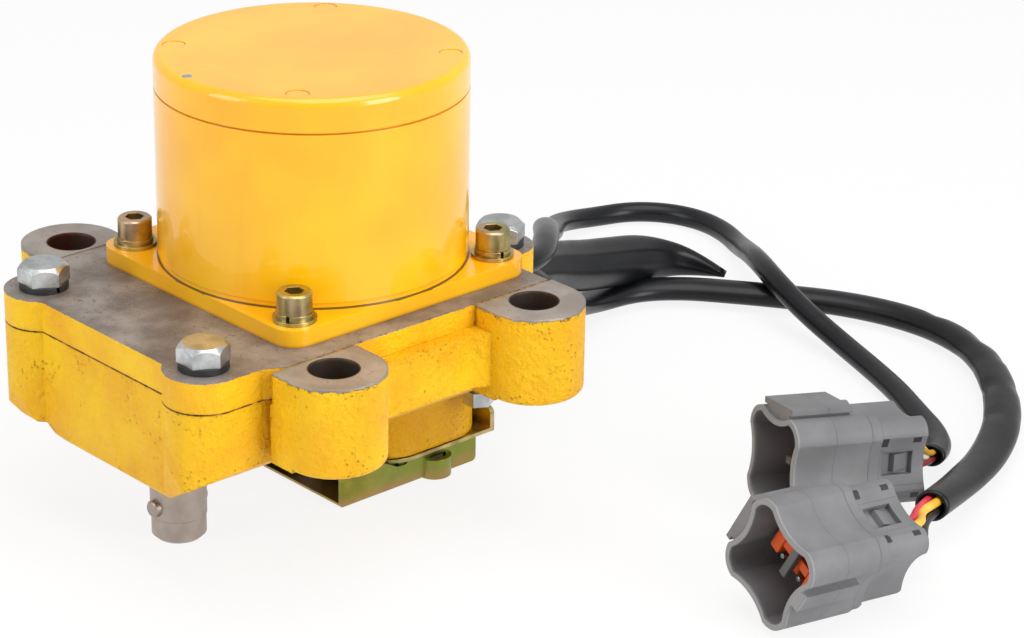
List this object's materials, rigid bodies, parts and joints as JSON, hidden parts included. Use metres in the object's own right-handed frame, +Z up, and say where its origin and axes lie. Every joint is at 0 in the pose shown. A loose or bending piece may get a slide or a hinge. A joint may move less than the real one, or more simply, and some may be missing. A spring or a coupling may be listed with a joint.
{
  "type": "throttle motor",
  "caption": "Geared throttle motor: round yellow motor on a cast gear housing with bolt-down ears, output shaft, guarded position sensor and two cables with grey plugs.",
  "frame": {"origin": "centre of the four ear holes, on the machined top of the ears", "axes": "+Z up along the motor axis, away from the output shaft; +Y from the output shaft towards the sensor and the cable exits; +X to the right seen from the shaft end"},
  "size_m": [0.2756, 0.3212, 0.1371],
  "materials": {
    "cast_yellow": "rough cast, painted yellow, machined faces bare",
    "machined_iron": "machined bare iron with painted yellow sides",
    "motor_yellow": "glossy orange-yellow paint",
    "zinc_steel": "bright zinc plated",
    "passivated_steel": "yellow passivated zinc, iridescent",
    "spring_steel": "black oxide",
    "shaft_steel": "brushed",
    "gear_steel": "machined",
    "lamination": "laminated iron",
    "copper_coil": "enamelled copper",
    "bearing_steel": "polished",
    "bronze": "sintered bronze",
    "gasket_paper": "dark gasket paper",
    "black_rubber": "moulded rubber",
    "sensor_plastic": "moulded black",
    "cable_vinyl": "semi-gloss black vinyl",
    "plug_grey": "matte grey moulding",
    "wedge_orange": "orange moulding",
    "pin_metal": "tinned",
    "wire_insulation": "coloured insulation"
  },
  "bodies": {
    "base": {"lower_housing": "cast_yellow", "cover_gasket": "gasket_paper", "cover_plate": "machined_iron", "cover_spring_washers": "spring_steel", "cover_bolts": "zinc_steel", "motor_flange": "motor_yellow", "flange_flat_washers": "passivated_steel", "flange_spring_washers": "passivated_steel", "flange_screws": "passivated_steel", "motor_can": "motor_yellow", "motor_lid": "motor_yellow", "lid_screws": "motor_yellow", "lower_bearing": "bearing_steel", "upper_bearing": "bearing_steel", "stator": "lamination", "windings": "copper_coil", "intermediate_axle": "shaft_steel", "idler_axle": "shaft_steel", "lower_bush": "bronze", "upper_bush": "bronze", "shaft_seal": "black_rubber", "sensor_body": "sensor_plastic", "sensor_plate": "passivated_steel", "guard_bracket": "passivated_steel", "guard_screws": "zinc_steel", "drain_screw": "zinc_steel", "motor_gland": "black_rubber", "sensor_gland": "black_rubber", "motor_cable": "cable_vinyl", "sensor_cable": "cable_vinyl", "motor_plug": "plug_grey", "motor_plug_wedge": "wedge_orange", "motor_plug_pins": "pin_metal", "motor_plug_seal": "black_rubber", "motor_wires": "wire_insulation", "sensor_plug": "plug_grey", "sensor_plug_wedge": "wedge_orange", "sensor_plug_pins": "pin_metal", "sensor_plug_seal": "black_rubber", "sensor_wires": "wire_insulation"},
    "rotor": {"rotor_core": "lamination", "rotor_magnets": "lamination", "motor_shaft": "shaft_steel", "motor_pinion": "gear_steel"},
    "intermediate": {"intermediate_gear": "gear_steel"},
    "idler": {"idler_gear": "gear_steel"},
    "output": {"output_sector": "gear_steel", "output_shaft": "shaft_steel", "cross_pin": "shaft_steel"},
    "sensor_rotor": {"sensor_gear": "gear_steel", "sensor_shaft": "shaft_steel"}
  },
  "joints": [
    {"name": "motor_turn", "type": "hinge", "parent": "base", "child": "rotor", "pos_m": [0, 0.0058, 0], "axis": [0, 0, 1], "range_deg": [-262.5, 262.5]},
    {"name": "intermediate_turn", "type": "hinge", "parent": "base", "child": "intermediate", "pos_m": [0, -0.0182, 0], "axis": [0, 0, 1], "range_deg": [-87.5, 87.5]},
    {"name": "idler_turn", "type": "hinge", "parent": "base", "child": "idler", "pos_m": [0, 0.0238, 0], "axis": [0, 0, 1], "range_deg": [-131.25, 131.25]},
    {"name": "output_turn", "type": "hinge", "parent": "base", "child": "output", "pos_m": [0, -0.0452, 0], "axis": [0, 0, 1], "range_deg": [-25, 25]},
    {"name": "sensor_turn", "type": "hinge", "parent": "base", "child": "sensor_rotor", "pos_m": [0, 0.0378, 0], "axis": [0, 0, 1], "range_deg": [-98.44, 98.44]}
  ],
  "couplings": [
    {"joint": "intermediate_turn", "follows": "motor_turn", "ratio": -0.33333},
    {"joint": "output_turn", "follows": "motor_turn", "ratio": 0.095238},
    {"joint": "idler_turn", "follows": "motor_turn", "ratio": -0.5},
    {"joint": "sensor_turn", "follows": "motor_turn", "ratio": 0.375}
  ]
}
